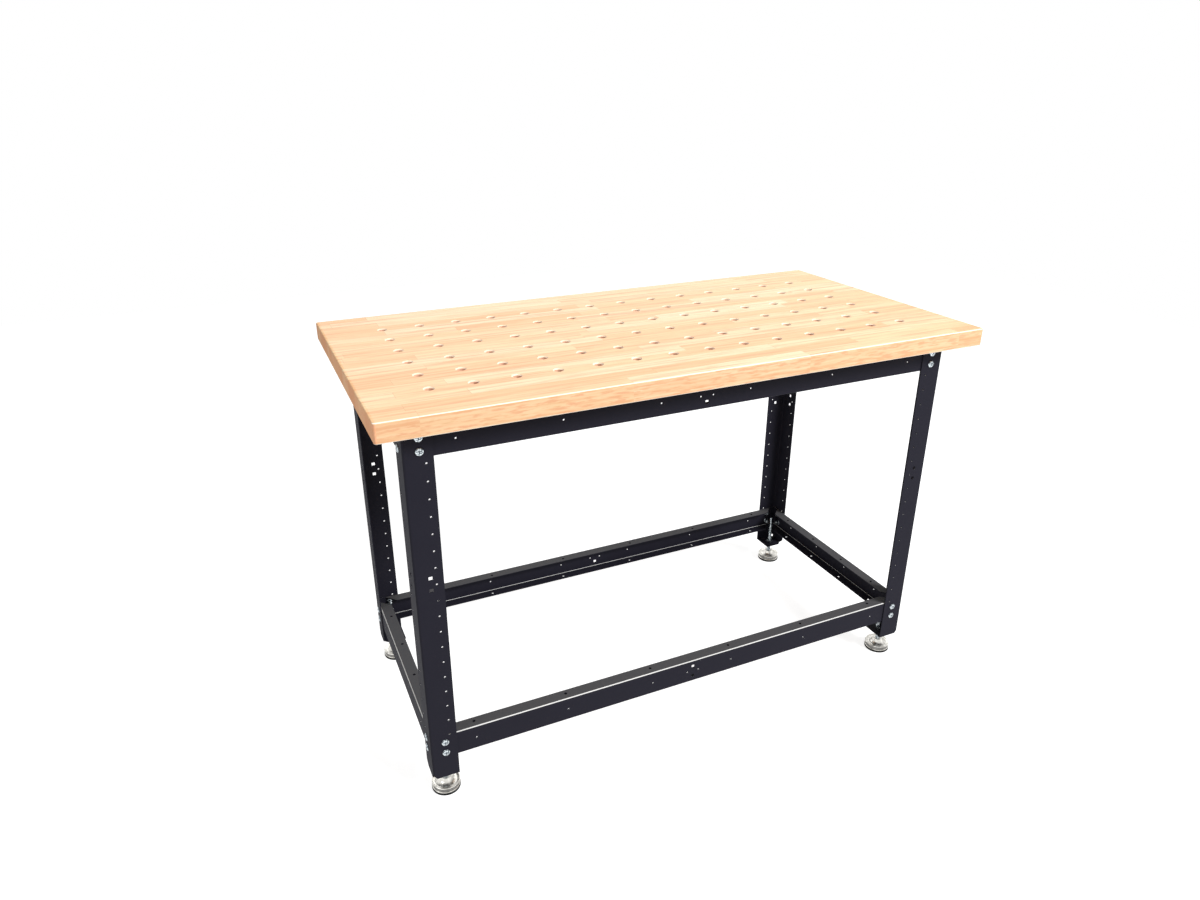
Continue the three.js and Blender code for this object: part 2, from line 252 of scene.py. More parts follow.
def round_cutter(diameter, axis, centre, steps=HOLE_STEPS):
    r = diameter / 2
    rod = lathed([(0, -THROUGH), (r, -THROUGH), (r, THROUGH), (0, THROUGH)], steps)
    return moved(along(rod, axis), *centre)


def square_cutter(axis, centre):
    half = SQUARE_HOLE / 2
    corners = [(half, -half), (half, half), (-half, half), (-half, -half)]
    outline = rounded(corners, SQUARE_CORNER, 3, closed=True)
    return moved(along(moved(extruded(outline, 2 * THROUGH), z=-THROUGH), axis), *centre)


def rounded(points, radius, steps, closed=False):
    """Polyline with square corners whose corners become arcs."""
    points = [Vector(p) for p in points]
    last = len(points) - 1
    out = []
    for i, p in enumerate(points):
        if not closed and i in (0, last):
            out.append(tuple(p))
            continue
        inward = (p - points[i - 1]).normalized()
        onward = (points[(i + 1) % len(points)] - p).normalized()
        centre = p - inward * radius + onward * radius
        for k in range(steps + 1):
            turn = math.pi / 2 * k / steps
            out.append(tuple(centre + radius * (inward * math.sin(turn) - onward * math.cos(turn))))
    return out


def folded(outer, inner, bend):
    """Outline of a folded sheet from its outer and inner lines."""
    return rounded(outer, bend, BEND_STEPS) + rounded(inner, bend - SHEET, BEND_STEPS)[::-1]


def centred_row(pitch, count):
    return [(i - (count - 1) / 2) * pitch for i in range(count)]


def nut_mesh(flats, height):
    """Hexagon along Z from 0 to height with turned corners on its far face."""
    corner = flats / math.sqrt(3)
    prism = lathed([(0, 0), (corner, 0), (corner, height), (0, height)], 6)
    drop = (corner - flats / 2) * NUT_TURNED
    reach = corner + MARGIN
    outline = [(0, -MARGIN), (reach, -MARGIN), (reach, height - drop), (flats / 2, height), (0, height)]
    cone = lathed(outline, NUT_STEPS)
    return combined(prism, cone, "INTERSECT")


def piece(name, mesh, body, material, place=None, stands_for=()):
    """Object made of a mesh in millimetres, riding on a body of the frame."""
    mesh.name = name
    mesh.transform(Matrix.Scale(MM, 4))
    return copy_of(name, mesh, body, material, place, stands_for)


def copy_of(name, mesh, body, material, place=None, stands_for=()):
    """Object that shows a finished mesh."""
    if not mesh.materials:
        mesh.materials.append(material)
        mesh.polygons.foreach_set("use_smooth", [True] * len(mesh.polygons))
        mesh.set_sharp_from_angle(angle=math.radians(SMOOTH_ANGLE))
    obj = bpy.data.objects.new(name, mesh)
    bpy.context.collection.objects.link(obj)
    obj.matrix_world = place or Matrix.Identity(4)
    weighted = obj.modifiers.new("flat faces stay flat", "WEIGHTED_NORMAL")
    weighted.keep_sharp = True
    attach(obj, body)
    if stands_for:
        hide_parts(*stands_for)
    return obj


# Materials

def new_material(name):
    material = bpy.data.materials.new(name)
    material.use_nodes = True
    tree = material.node_tree
    return material, tree, tree.nodes["Principled BSDF"]


def node(tree, kind, inputs=None, **settings):
    """New node whose inputs are values or other nodes' sockets."""
    made = tree.nodes.new(kind)
    for key, value in settings.items():
        setattr(made, key, value)
    for key, value in (inputs or {}).items():
        feed(tree, made.inputs[key], value)
    return made


def feed(tree, socket, value):
    if isinstance(value, bpy.types.NodeSocket):
        tree.links.new(value, socket)
    else:
        socket.default_value = value


def maths(tree, operation, *values):
    made = tree.nodes.new("ShaderNodeMath")
    made.operation = operation
    for socket, value in zip(made.inputs, values):
        feed(tree, socket, value)
    return made.outputs[0]


def product(tree, first, *others):
    for other in others:
        first = maths(tree, "MULTIPLY", first, other)
    return first


def mixed(tree, factor, first, second):
    """Colour between two colours. The numbers are those of the node's colour sockets."""
    made = node(tree, "ShaderNodeMix", data_type="RGBA")
    for key, value in ((0, factor), (6, first), (7, second)):
        feed(tree, made.inputs[key], value)
    return made.outputs[2]


def spread(tree, value, low, high):
    """Value from 0 to 1 laid over a range."""
    inputs = {"Value": value, "To Min": low, "To Max": high}
    return node(tree, "ShaderNodeMapRange", inputs).outputs["Result"]


def ranged(tree, value, start, end, most=1.0):
    """0 up to the start of a range, rising to the most at its end."""
    inputs = {"Value": value, "From Min": start, "From Max": end, "To Max": most}
    return node(tree, "ShaderNodeMapRange", inputs).outputs["Result"]


def noise(tree, vector, scale, detail=3.0, rough=0.55):
    inputs = {"Vector": vector, "Scale": scale, "Detail": detail, "Roughness": rough}
    return node(tree, "ShaderNodeTexNoise", inputs).outputs["Fac"]


def bump(tree, shader, height, strength, distance):
    inputs = {"Height": height, "Strength": strength, "Distance": distance}
    feed(tree, shader.inputs["Normal"], node(tree, "ShaderNodeBump", inputs).outputs["Normal"])


STAVE_WIDTH = 0.03812
PLANK_LENGTHS = (0.34, 0.78)
PLANK_SHIFT = 9.0  # most that a stave's planks are shifted along it
PLANK_SEED = 3.0
PLANK_OFFSET = 40.0  # gives each plank grain from another place
RING_WIDTH = 0.0055
RING_SWAY = 0.02
RING_POWER = 1.5  # narrows the dark part of a ring
RING_STRENGTH = (0.1, 0.5)
PITH_LEVEL = 0.98
PITH_SIDE = 0.05  # most that the pith lies to a side of its plank
PITH_RISE = 0.06  # most that it lies above or below
PITH_DRIFT = 0.12  # most that it moves to a side for each metre along

# Grain along X, Y and Z for each metre.
SLOW_GRAIN = (1.6, 9.0, 9.0)
FIBRE_GRAIN = (8.0, 240.0, 240.0)
FLECK_GRAIN = (25.0, 400.0, 250.0)
STREAK_GRAIN = (3.0, 95.0, 95.0)
SAWN_GRAIN = (26.0, 40.0, 190.0)

# Where a mark starts, where it is full, and how strong it is then.
FIBRE_RANGE = (0.47, 0.72, 0.55)
FLECK_RANGE = (0.66, 0.74, 0.55)
STREAK_RANGE = (0.48, 0.70, 0.9)
SAWN_RANGE = (0.50, 0.62, 0.95)
ROUND_RANGE = (0.04, 0.2)
WALL_RANGE = (0.55, 0.8)
CHAMFER_RANGE = (0.1, 0.25, 0.5)
BORE_RANGE = (0.4, 0.7, 0.85)

CLOUD_STRENGTH = 0.3
EDGE_REACH = 0.006  # how far the deeper tone of the sawn edges goes in
EDGE_STRENGTH = 0.6
END_STRENGTH = (0.5, 1.0)
EDGE_HIGHLIGHT_STRENGTH = 0.8
STAVE_GLUE = 0.494  # from the middle of a stave to its glue line, in widths
BUTT_GLUE = 0.4992  # from the middle of a plank to its butt joint, in lengths
GLUE_STRENGTH = 0.45
LACQUER_ROUGHNESS = (0.40, 0.56)
END_ROUGHNESS = 0.9
LACQUER_SPECULAR = 0.3

PALE_WOOD = (0.98, 0.86, 0.59, 1)
TAN_WOOD = (0.95, 0.70, 0.41, 1)
WARM_WOOD = (0.91, 0.55, 0.29, 1)
DARK_WOOD = (0.74, 0.38, 0.18, 1)
RED_WOOD = (0.80, 0.40, 0.21, 1)
EDGE_WOOD = (1.0, 0.74, 0.49, 1)
SAWN_WOOD = (0.84, 0.40, 0.24, 1)
END_WOOD = (0.76, 0.37, 0.21, 1)
HIGHLIGHT_WOOD = (1.0, 0.95, 0.84, 1)
BORED_WOOD = (0.70, 0.39, 0.27, 1)
GLUE_WOOD = (0.50, 0.29, 0.14, 1)


def grain_place(tree, axes, scale, offset):
    """Place on the wood, drawn out along the grain."""
    x, y, z = (maths(tree, "MULTIPLY", axes[name], factor) for name, factor in zip("XYZ", scale))
    inputs = {"X": x, "Y": y, "Z": maths(tree, "ADD", z, offset)}
    return node(tree, "ShaderNodeCombineXYZ", inputs).outputs["Vector"]


def from_middle(tree, value):
    """How far a value lies from the middle between two whole numbers."""
    return maths(tree, "ABSOLUTE", maths(tree, "SUBTRACT", maths(tree, "FRACT", value), 0.5))


def wood_material(half_length, half_depth):
    """Lacquered staves along X, each made of planks of its own tone, with growth rings running through."""
    material, tree, shader = new_material("maple")
    place = node(tree, "ShaderNodeTexCoord").outputs["Object"]
    axes = node(tree, "ShaderNodeSeparateXYZ", {"Vector": place}).outputs
    x, y, z = axes["X"], axes["Y"], axes["Z"]

    stave_place = maths(tree, "DIVIDE", y, STAVE_WIDTH)
    stave = maths(tree, "FLOOR", stave_place)
    stave_noise = node(tree, "ShaderNodeTexWhiteNoise", {"W": stave}, noise_dimensions="1D")
    stave_random = node(tree, "ShaderNodeSeparateColor", {"Color": stave_noise.outputs["Color"]}).outputs
    length = spread(tree, stave_random["Red"], *PLANK_LENGTHS)
    shift = maths(tree, "MULTIPLY", stave_random["Green"], PLANK_SHIFT)
    plank_place = maths(tree, "DIVIDE", maths(tree, "ADD", x, shift), length)
    plank = maths(tree, "FLOOR", plank_place)
    seed = node(tree, "ShaderNodeCombineXYZ", {"X": stave, "Y": plank, "Z": PLANK_SEED}).outputs["Vector"]
    plank_noise = node(tree, "ShaderNodeTexWhiteNoise", {"Vector": seed}, noise_dimensions="3D")
    tone = plank_noise.outputs["Value"]
    random = node(tree, "ShaderNodeSeparateColor", {"Color": plank_noise.outputs["Color"]}).outputs

    # Rings about a pith that lies beside each plank and drifts along it.
    middle = maths(tree, "MULTIPLY", maths(tree, "ADD", stave, 0.5), STAVE_WIDTH)
    drift = maths(tree, "MULTIPLY", x, spread(tree, random["Blue"], -PITH_DRIFT, PITH_DRIFT))
    inside = maths(tree, "ADD", maths(tree, "SUBTRACT", y, middle), drift)
    side = maths(tree, "ADD", inside, spread(tree, random["Red"], -PITH_SIDE, PITH_SIDE))
    level = maths(tree, "SUBTRACT", z, PITH_LEVEL)
    rise = maths(tree, "ADD", level, spread(tree, random["Green"], -PITH_RISE, PITH_RISE))
    far = maths(tree, "MULTIPLY", tone, PLANK_OFFSET)
    slow = grain_place(tree, axes, SLOW_GRAIN, far)
    sway = maths(tree, "MULTIPLY", noise(tree, slow, 2.0, detail=2.0), RING_SWAY)
    square = maths(tree, "ADD", maths(tree, "POWER", side, 2.0), maths(tree, "POWER", rise, 2.0))
    reach = maths(tree, "ADD", maths(tree, "SQRT", square), sway)
    wave = maths(tree, "SINE", maths(tree, "MULTIPLY", reach, 2 * math.pi / RING_WIDTH))
    ring = maths(tree, "POWER", maths(tree, "MULTIPLY_ADD", wave, 0.5, 0.5), RING_POWER)

    # Fine fibres, pores and streaks along the grain.
    fibre = noise(tree, grain_place(tree, axes, FIBRE_GRAIN, far), 1.0, detail=4.0, rough=0.65)
    fleck = noise(tree, grain_place(tree, axes, FLECK_GRAIN, far), 1.0, detail=1.0)
    streak = noise(tree, grain_place(tree, axes, STREAK_GRAIN, far), 1.0, detail=3.0, rough=0.6)
    cloud = noise(tree, slow, 1.1, detail=2.0)

    ramp = node(tree, "ShaderNodeValToRGB", {"Fac": tone})
    stops = ramp.color_ramp.elements
    stops[0].position, stops[0].color = 0.0, PALE_WOOD
    stops[1].position, stops[1].color = 1.0, WARM_WOOD
    stops.new(0.5).color = TAN_WOOD
    colour = mixed(tree, spread(tree, cloud, 0.0, CLOUD_STRENGTH), ramp.outputs["Color"], WARM_WOOD)

    # The sawn edges take the finish deeper, and the long ones show red, wavy grain.
    at_side = maths(tree, "GREATER_THAN", maths(tree, "ABSOLUTE", y), half_depth - EDGE_REACH)
    at_end = maths(tree, "GREATER_THAN", maths(tree, "ABSOLUTE", x), half_length - EDGE_REACH)
    normal = node(tree, "ShaderNodeNewGeometry").outputs["Normal"]
    upward = node(tree, "ShaderNodeSeparateXYZ", {"Vector": normal}).outputs["Z"]
    upright = maths(tree, "SUBTRACT", 1.0, maths(tree, "ABSOLUTE", upward))
    colour = mixed(tree, product(tree, at_side, upright, EDGE_STRENGTH), colour, EDGE_WOOD)
    end_grain = product(tree, at_end, upright, spread(tree, tone, *END_STRENGTH))
    colour = mixed(tree, end_grain, colour, END_WOOD)
    sawn = noise(tree, grain_place(tree, axes, SAWN_GRAIN, far), 1.0, detail=3.0, rough=0.6)
    red_grain = product(tree, at_side, upright, ranged(tree, sawn, *SAWN_RANGE))
    colour = mixed(tree, red_grain, colour, SAWN_WOOD)

    ring_strength = spread(tree, random["Blue"], *RING_STRENGTH)
    colour = mixed(tree, product(tree, ring, ring_strength), colour, WARM_WOOD)
    colour = mixed(tree, ranged(tree, fibre, *FIBRE_RANGE), colour, DARK_WOOD)
    colour = mixed(tree, ranged(tree, streak, *STREAK_RANGE), colour, RED_WOOD)
    colour = mixed(tree, ranged(tree, fleck, *FLECK_RANGE), colour, DARK_WOOD)

    # The rounding of the long edges gets a painted pale highlight.
    turned = maths(tree, "SUBTRACT", ranged(tree, upright, *ROUND_RANGE), ranged(tree, upright, *WALL_RANGE))
    colour = mixed(tree, product(tree, at_side, turned, EDGE_HIGHLIGHT_STRENGTH), colour, HIGHLIGHT_WOOD)

    # The chamfers of the holes get the same painted pale highlight, and their walls are a darker brown.
    inner = maths(tree, "SUBTRACT", 1.0, maths(tree, "MAXIMUM", at_side, at_end))
    colour = mixed(tree, product(tree, inner, ranged(tree, upright, *CHAMFER_RANGE)), colour, HIGHLIGHT_WOOD)
    colour = mixed(tree, product(tree, inner, ranged(tree, upright, *BORE_RANGE)), colour, BORED_WOOD)

    # Glue lines between staves and at butt joints.
    stave_glue = maths(tree, "GREATER_THAN", from_middle(tree, stave_place), STAVE_GLUE)
    butt_glue = maths(tree, "GREATER_THAN", from_middle(tree, plank_place), BUTT_GLUE)
    glue = maths(tree, "MAXIMUM", stave_glue, butt_glue)
    colour = mixed(tree, product(tree, glue, GLUE_STRENGTH), colour, GLUE_WOOD)

    feed(tree, shader.inputs["Base Color"], colour)
    end_rough = product(tree, at_end, END_ROUGHNESS)
    rough = maths(tree, "MAXIMUM", spread(tree, fibre, *LACQUER_ROUGHNESS), end_rough)
    feed(tree, shader.inputs["Roughness"], rough)
    shader.inputs["Specular IOR Level"].default_value = LACQUER_SPECULAR
    bump(tree, shader, maths(tree, "SUBTRACT", fibre, glue), 0.12, 0.0003)
    return material


LIT_FLANGE_REACH = 0.004
LIT_TOP_RANGE = (0.9, 1.0, 0.9)
BEND_RANGE = (0.3, 0.6)
BEND_HIGHLIGHT_STRENGTH = (0.6, 1.0)
PAINT_ROUGHNESS = (0.6, 0.74)
PAINT_SPECULAR = 0.1
PAINT_LOW = (0.0115, 0.0110, 0.0175, 1)
PAINT_HIGH = (0.0165, 0.0160, 0.0235, 1)
PAINT_LIT_TOP = (0.066, 0.066, 0.070, 1)
PAINT_BEND_HIGHLIGHT = (0.90, 0.90, 0.88, 1)


def paint_material(lit_flange_level):
    """Black powder coat with orange peel, painted light on the upward faces at the height of the lower rails'
    top flanges, and a painted pale highlight along the upward bends.
    """
    material, tree, shader = new_material("black_paint")
    coords = node(tree, "ShaderNodeTexCoord").outputs
    peel = noise(tree, coords["Object"], 700.0, detail=2.0)
    marks = noise(tree, coords["Object"], 14.0, detail=5.0, rough=0.65)
    colour = mixed(tree, marks, PAINT_LOW, PAINT_HIGH)

    sides = node(tree, "ShaderNodeSeparateXYZ", {"Vector": coords["Normal"]}).outputs
    upward = maths(tree, "MAXIMUM", sides["Z"], 0.0)
    across = maths(tree, "MAXIMUM", maths(tree, "ABSOLUTE", sides["X"]), maths(tree, "ABSOLUTE", sides["Y"]))
    height = node(tree, "ShaderNodeSeparateXYZ", {"Vector": coords["Object"]}).outputs["Z"]
    # Painted light: upward faces at the height of the rails' top flanges are made paler, as if lit from
    # above.
    lit_flange_face = maths(tree, "COMPARE", height, lit_flange_level, LIT_FLANGE_REACH)
    dust_and_painted_light = product(tree, lit_flange_face, ranged(tree, upward, *LIT_TOP_RANGE))
    colour = mixed(tree, dust_and_painted_light, colour, PAINT_LIT_TOP)
    # Painted highlight: the upward bends are made paler, more so where the marks are strong.
    bend = ranged(tree, maths(tree, "MINIMUM", upward, across), *BEND_RANGE)
    bend_highlight = product(tree, bend, spread(tree, marks, *BEND_HIGHLIGHT_STRENGTH))
    colour = mixed(tree, bend_highlight, colour, PAINT_BEND_HIGHLIGHT)
    feed(tree, shader.inputs["Base Color"], colour)
    feed(tree, shader.inputs["Roughness"], spread(tree, marks, *PAINT_ROUGHNESS))
    shader.inputs["Specular IOR Level"].default_value = PAINT_SPECULAR
    bump(tree, shader, peel, 0.12, 0.0003)
    return material


def from_axis(tree, axes):
    """How far a place lies from its object's own Z axis."""
    plane = node(tree, "ShaderNodeCombineXYZ", {"X": axes["X"], "Y": axes["Y"]}).outputs["Vector"]
    return node(tree, "ShaderNodeVectorMath", {0: plane}, operation="LENGTH").outputs["Value"]


SPOT_RANGE = (0.42, 0.58)
RIM_REFLECTION_RANGE = (0.0078, 0.0092, 0.7)
ZINC_ROUGHNESS = (0.18, 0.36)
ZINC_DARK = (0.07, 0.085, 0.10, 1)
ZINC_PALE = (0.72, 0.78, 0.81, 1)
ZINC_RIM_REFLECTION = (0.05, 0.06, 0.07, 1)


def zinc_material():
    """Zinc plate with a bluish cast, scratched, with its dark and pale mottle and a darker rim round a head
    painted as reflections.
    """
    material, tree, shader = new_material("zinc")
    place = node(tree, "ShaderNodeTexCoord").outputs["Object"]
    axes = node(tree, "ShaderNodeSeparateXYZ", {"Vector": place}).outputs
    radius = from_axis(tree, axes)
    # Painted reflections: dark and pale patches.
    spot = ranged(tree, noise(tree, place, 300.0, detail=2.0), *SPOT_RANGE)
    scratch = noise(tree, place, 1600.0, detail=2.0)
    colour = mixed(tree, spot, ZINC_DARK, ZINC_PALE)
    # Painted reflection: darker round the rim of a head.
    on_head = maths(tree, "LESS_THAN", radius, HEAD_DIAMETER * MM)
    rim = product(tree, on_head, ranged(tree, radius, *RIM_REFLECTION_RANGE))
    colour = mixed(tree, rim, colour, ZINC_RIM_REFLECTION)
    feed(tree, shader.inputs["Base Color"], colour)
    feed(tree, shader.inputs["Roughness"], spread(tree, scratch, *ZINC_ROUGHNESS))
    shader.inputs["Metallic"].default_value = 1.0
    bump(tree, shader, scratch, 0.08, 0.0001)
    return material


TURNED_LINES = 9000.0  # radians for each metre out from the axis
FAN_DEPTH = 20.0
FAN_REFLECTION_RANGE = (0.36, 0.64)
NICKEL_ROUGHNESS = (0.28, 0.42)
NICKEL_DARK = (0.52, 0.51, 0.47, 1)
NICKEL_PALE = (0.92, 0.90, 0.85, 1)
PAD_BAND_MIDDLE = 0.01275
PAD_BAND_HALF = 0.0045
PAD_BAND_RADIUS = 0.030
BAND_REFLECTION_STRENGTH = 0.8
BAND_DARK_REFLECTION = (0.045, 0.043, 0.045, 1)


def nickel_material():
    """Turned pad with a warm nickel plate, fine rings about its own axis, and painted reflections: pale and
    dark fans about the axis and a dark band round its side.
    """
    material, tree, shader = new_material("nickel")
    place = node(tree, "ShaderNodeTexCoord").outputs["Object"]
    axes = node(tree, "ShaderNodeSeparateXYZ", {"Vector": place}).outputs
    radius = from_axis(tree, axes)
    wave = maths(tree, "SINE", maths(tree, "MULTIPLY", radius, TURNED_LINES))
    lines = maths(tree, "MULTIPLY_ADD", wave, 0.5, 0.5)
    # Painted reflection: pale and dark fans about the axis stand in for the streaked reflections of turned
    # metal.
    turn = maths(tree, "ARCTAN2", axes["Y"], axes["X"])
    fan_inputs = {"X": maths(tree, "COSINE", turn), "Y": maths(tree, "SINE", turn),
                  "Z": maths(tree, "MULTIPLY", radius, FAN_DEPTH)}
    fan_place = node(tree, "ShaderNodeCombineXYZ", fan_inputs).outputs["Vector"]
    cast = ranged(tree, noise(tree, fan_place, 2.6, detail=3.0), *FAN_REFLECTION_RANGE)
    colour = mixed(tree, cast, NICKEL_DARK, NICKEL_PALE)
    # Painted reflection: a dark band round the side of the pad.
    band = maths(tree, "COMPARE", axes["Z"], PAD_BAND_MIDDLE, PAD_BAND_HALF)
    outside = maths(tree, "GREATER_THAN", radius, PAD_BAND_RADIUS)
    colour = mixed(tree, product(tree, band, outside, BAND_REFLECTION_STRENGTH), colour, BAND_DARK_REFLECTION)
    feed(tree, shader.inputs["Base Color"], colour)
    feed(tree, shader.inputs["Roughness"], spread(tree, cast, *NICKEL_ROUGHNESS))
    shader.inputs["Metallic"].default_value = 1.0
    bump(tree, shader, lines, 0.05, 0.0001)
    return material


RUBBER_ROUGHNESS = (0.7, 0.9)
RUBBER_SPECULAR = 0.15
RUBBER_DARK = (0.008, 0.008, 0.008, 1)
RUBBER_DUSTY = (0.018, 0.018, 0.018, 1)


def rubber_material():
    """Matt black rubber with a fine pebble."""
    material, tree, shader = new_material("rubber")
    place = node(tree, "ShaderNodeTexCoord").outputs["Object"]
    pebble = noise(tree, place, 1200.0, detail=2.0)
    dust_and_painted_light = noise(tree, place, 50.0, detail=3.0)
    colour = mixed(tree, dust_and_painted_light, RUBBER_DARK, RUBBER_DUSTY)
    feed(tree, shader.inputs["Base Color"], colour)
    feed(tree, shader.inputs["Roughness"], spread(tree, dust_and_painted_light, *RUBBER_ROUGHNESS))
    shader.inputs["Specular IOR Level"].default_value = RUBBER_SPECULAR
    bump(tree, shader, pebble, 0.2, 0.0003)
    return material


top_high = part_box("top")[1]
WOOD = wood_material(top_high.x, top_high.y)
PAINT = paint_material(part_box("rail_front")[1].z)
ZINC = zinc_material()
NICKEL = nickel_material()
RUBBER = rubber_material()


# Table top

def round_off(bm, edges, radius):
    bmesh.ops.bevel(bm, geom=edges, offset=radius, segments=ROUND_SEGMENTS, profile=0.5, affect="EDGES")


def make_top():
    low, high = (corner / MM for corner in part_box("top"))
    size = high - low
    bm = bmesh.new()
    bmesh.ops.create_cube(bm, size=1)
    bmesh.ops.scale(bm, vec=size, verts=bm.verts)
    upright = [e for e in bm.edges if abs(e.verts[0].co.z - e.verts[1].co.z) > 1]
    round_off(bm, upright, CORNER_ROUND)
    flat = [e for e in bm.edges if abs(e.verts[0].co.z - e.verts[1].co.z) < 1]
    round_off(bm, flat, EDGE_ROUND)
    board = mesh_of(bm)

    r, flare, half = DOG_DIAMETER / 2, DOG_CHAMFER + THROUGH, size.z / 2
    spool = [(0, -half - THROUGH), (r + flare, -half - THROUGH), (r, DOG_CHAMFER - half),
             (r, half - DOG_CHAMFER), (r + flare, half + THROUGH), (0, half + THROUGH)]
    drills = [moved(lathed(spool, FINE_STEPS), px, py)
              for px in centred_row(DOG_PITCH, DOG_COLUMNS) for py in centred_row(DOG_PITCH, DOG_ROWS)]
    drilled = combined(board, joined(*drills), "DIFFERENCE")
    middle = (low + high) / 2
    piece("butcher_block", moved(drilled, *middle), "frame", WOOD, stands_for=["top"])


# Legs

def leg_mesh(flange, height):
    """Leg with its fold along Z and flanges along +X and +Y. The foot plate is folded in from the first."""
    outer = [(flange, 0), (0, 0), (0, flange)]
    inner = [(flange, SHEET), (SHEET, SHEET), (SHEET, flange)]
    angle = extruded(folded(outer, inner, LEG_BEND), height)
    past = flange + MARGIN
    clipped = [(flange - LEG_CLIP - MARGIN, -MARGIN), (past, -MARGIN), (past, LEG_CLIP + MARGIN)]
    clip = moved(drawn(clipped, 2 * THROUGH), x=-THROUGH)
    notch = [(-MARGIN, -MARGIN), (RELIEF_WIDTH, -MARGIN), (RELIEF_WIDTH, 0), (0, RELIEF_HEIGHT),
             (-MARGIN, RELIEF_HEIGHT)]
    relief = extruded(notch, RELIEF_WIDTH + MARGIN)
    relief.transform(Matrix.Rotation(math.pi / 2, 4, "X"))
    moved(relief, y=RELIEF_WIDTH)
    angle = combined(combined(angle, clip, "DIFFERENCE"), relief, "DIFFERENCE")

    start = SHEET + PLATE_GAP
    plate = extruded([(RELIEF_WIDTH, 0), (flange, 0), (flange, flange), (start + LEG_CLIP, flange),
                      (start, flange - LEG_CLIP), (start, RELIEF_WIDTH), (RELIEF_WIDTH, RELIEF_WIDTH)], SHEET)
    body = combined(angle, plate, "UNION")

    cutters = [round_cutter(2 * STUD_RADIUS + STUD_CLEARANCE, "z", (FOOT_INSET, FOOT_INSET, 0), ROUND_STEPS)]
    for middle in (LOWER_BOLT_RISE, MIDDLE_BOLT_RISE, height - UPPER_BOLT_DROP):
        for rise in (middle - BOLT_SPACING / 2, middle + BOLT_SPACING / 2):
            cutters.append(square_cutter("y", (BOLT_INSET, 0, rise)))
            cutters.append(square_cutter("x", (0, BOLT_INSET, rise)))
    across = flange - LEG_PILOT_INSET
    for i in range(LEG_PILOTS):
        rise = LEG_PILOT_BOTTOM + i * LEG_PILOT_PITCH
        cutters.append(round_cutter(PILOT_DIAMETER, "y", (across, 0, rise)))
        cutters.append(round_cutter(PILOT_DIAMETER, "x", (0, across, rise)))
    return combined(body, joined(*cutters), "DIFFERENCE")


def make_legs():
    low, high = (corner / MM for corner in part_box("leg_front_left"))
    shape = leg_mesh(high.x - low.x, high.z - low.z)
    nut = nut_mesh(PLATE_NUT_FLATS, PLATE_NUT_HEIGHT)
    for name, (in_x, in_y) in CORNERS.items():
        low, high = (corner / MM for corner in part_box(f"leg_{name}"))
        x = low.x if in_x > 0 else high.x
        y = low.y if in_y > 0 else high.y
        mesh = shape.copy()
        mesh.transform(Matrix.Diagonal((in_x, in_y, 1, 1)))
        if in_x * in_y < 0:
            mesh.flip_normals()
        moved(mesh, x, y, low.z)
        piece(f"angle_leg_{name}", mesh, "frame", PAINT, stands_for=[f"leg_{name}"])
        seat = moved(nut.copy(), x + in_x * FOOT_INSET, y + in_y * FOOT_INSET, low.z + SHEET)
        piece(f"plate_nut_{name}", seat, "frame", ZINC)


# Rails

def rail_mesh(length, height, depth, bolt_to_top, row, end, centre_rows, is_plunged):
    """Channel along X with its web facing -Y at y = 0 and its bolt line at z = 0."""
    low = bolt_to_top - height
    outer = [(depth, low), (0, low), (0, bolt_to_top), (depth, bolt_to_top)]
    floor, ceiling = low + SHEET, bolt_to_top - SHEET
    inner = [(depth, floor), (SHEET, floor), (SHEET, ceiling), (depth, ceiling)]
    body = moved(drawn(folded(outer, inner, RAIL_BEND), length), x=-length / 2)

    taper = TAPER_START - end
    foot = taper - (depth - RAIL_BEND)
    corner = [(-THROUGH, RAIL_BEND), (foot, RAIL_BEND), (taper, depth), (taper, depth + THROUGH),
              (-THROUGH, depth + THROUGH)]
    left = moved(extruded(corner, height + 2 * THROUGH), -length / 2, 0, low - THROUGH)
    right = left.copy()
    right.transform(Matrix.Diagonal((-1, 1, 1, 1)))
    right.flip_normals()
    body = combined(body, joined(left, right), "DIFFERENCE")

    flange_y = depth - FLANGE_PILOT_INSET
    if is_plunged:
        r = FLANGE_HOLE_DIAMETER / 2 + COLLAR_WALL
        seat = bolt_to_top - SHEET / 2
        tip = ceiling - COLLAR_HEIGHT
        collar = lathed([(0, tip), (r, tip), (r, seat), (0, seat)], HOLE_STEPS)
        body = combined(body, joined(*[moved(collar.copy(), x, flange_y) for x in row]), "UNION")

    bolt_x = length / 2 + end - BOLT_INSET
    bolt_rows = (-BOLT_SPACING / 2, BOLT_SPACING / 2)
    cutters = [square_cutter("y", (x, 0, z)) for x in (-bolt_x, bolt_x) for z in bolt_rows]
    cutters += [square_cutter("y", (0, 0, z)) for z in centre_rows]
    pair = [-CENTRE_PILOT_SPACING / 2, CENTRE_PILOT_SPACING / 2] if centre_rows else []
    cutters += [round_cutter(PILOT_DIAMETER, "y", (x, 0, 0)) for x in row + pair]
    levels = (low, bolt_to_top - COLLAR_HEIGHT / 2)
    cutters += [round_cutter(FLANGE_HOLE_DIAMETER, "z", (x, flange_y, z)) for x in row for z in levels]
    return combined(body, joined(*cutters), "DIFFERENCE")


